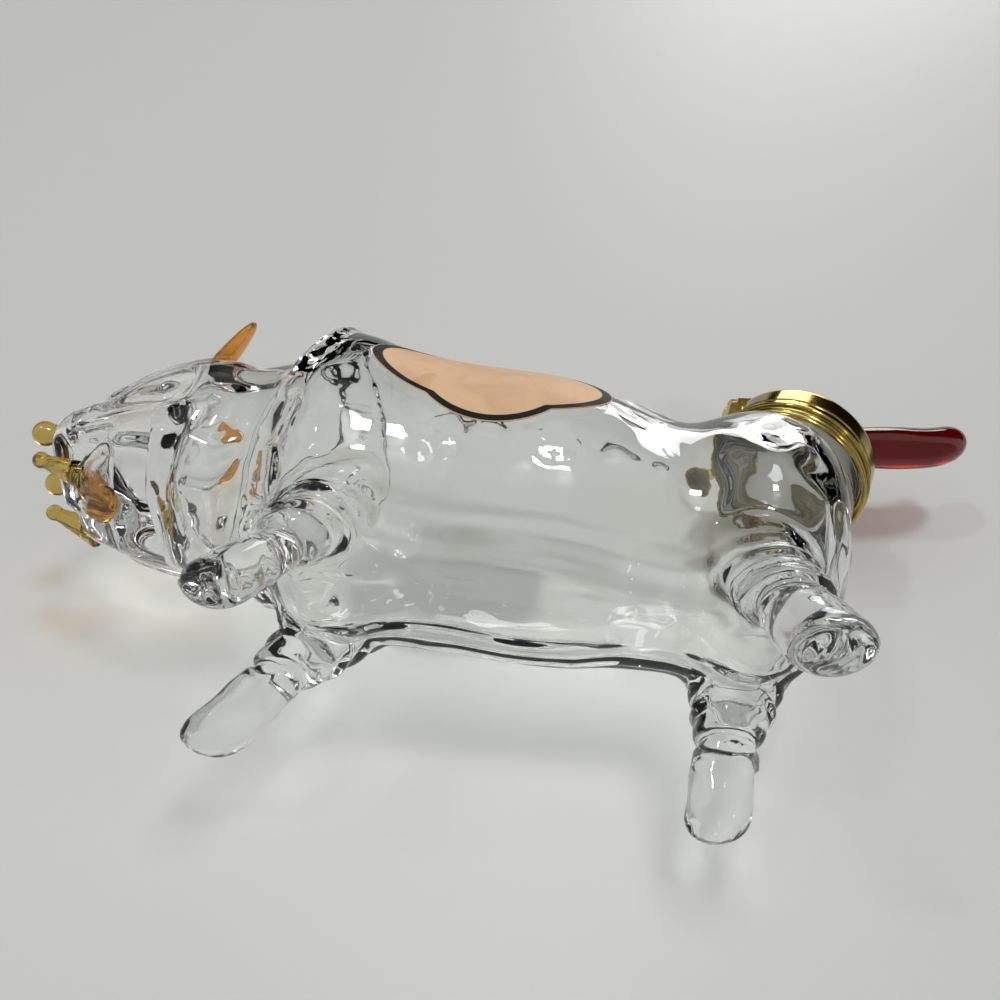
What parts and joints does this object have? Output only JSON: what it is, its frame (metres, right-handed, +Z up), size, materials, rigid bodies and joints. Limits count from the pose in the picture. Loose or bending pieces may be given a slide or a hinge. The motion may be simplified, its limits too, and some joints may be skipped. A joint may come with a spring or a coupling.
{
  "type": "figural liquor decanter",
  "caption": "Hand-blown clear glass bottle shaped as a stout four-legged animal, with amber glass ears and tusks, a gold screw cap on the rump and a red glass tail.",
  "frame": {"origin": "on the floor, under the middle of the whole object's box, standing on its four soles", "axes": "+Z up; the head points to -X and the tail to +X; the animal's left flank is at -Y"},
  "size_m": [0.1428, 0.0452, 0.0712],
  "materials": {
    "clear_glass": "fire-polished",
    "amber_glass": "fire-polished",
    "red_glass": "fire-polished",
    "gold_cap": "lacquered gold",
    "label_paper": "coated paper",
    "liner_plastic": "matte"
  },
  "bodies": {
    "glass": {"glass_body": "clear_glass", "leg_front_left": "clear_glass", "leg_front_right": "clear_glass", "leg_rear_left": "clear_glass", "leg_rear_right": "clear_glass", "shoulder_roll": "clear_glass", "spine_bump_1": "clear_glass", "spine_bump_2": "clear_glass", "spine_bump_3": "clear_glass", "spine_bump_4": "clear_glass", "spine_bump_5": "clear_glass", "spine_bump_6": "clear_glass", "ear_left": "amber_glass", "ear_right": "amber_glass", "eye_left": "clear_glass", "eye_right": "clear_glass", "nostril_left": "amber_glass", "nostril_right": "amber_glass", "tusk_left": "amber_glass", "tusk_right": "amber_glass", "tongue": "amber_glass", "label_left": "label_paper", "tamper_band": "gold_cap"},
    "liner": {"cap_liner": "liner_plastic"},
    "cap": {"cap_shell": "gold_cap", "tail_ferrule": "gold_cap", "tail": "red_glass"}
  },
  "joints": [
    {"name": "cap_lift", "type": "slide", "parent": "glass", "child": "liner", "axis": [0.4067, 0, 0.9135], "range_m": [0, 0.00485]},
    {"name": "cap_turn", "type": "hinge", "parent": "liner", "child": "cap", "pos_m": [0.0365, 0.0003, 0.0482], "axis": [0.4067, 0, 0.9135], "range_deg": [0, 540]}
  ],
  "couplings": [
    {"joint": "cap_lift", "follows": "cap_turn", "m_per_rad": 0.0005093}
  ]
}
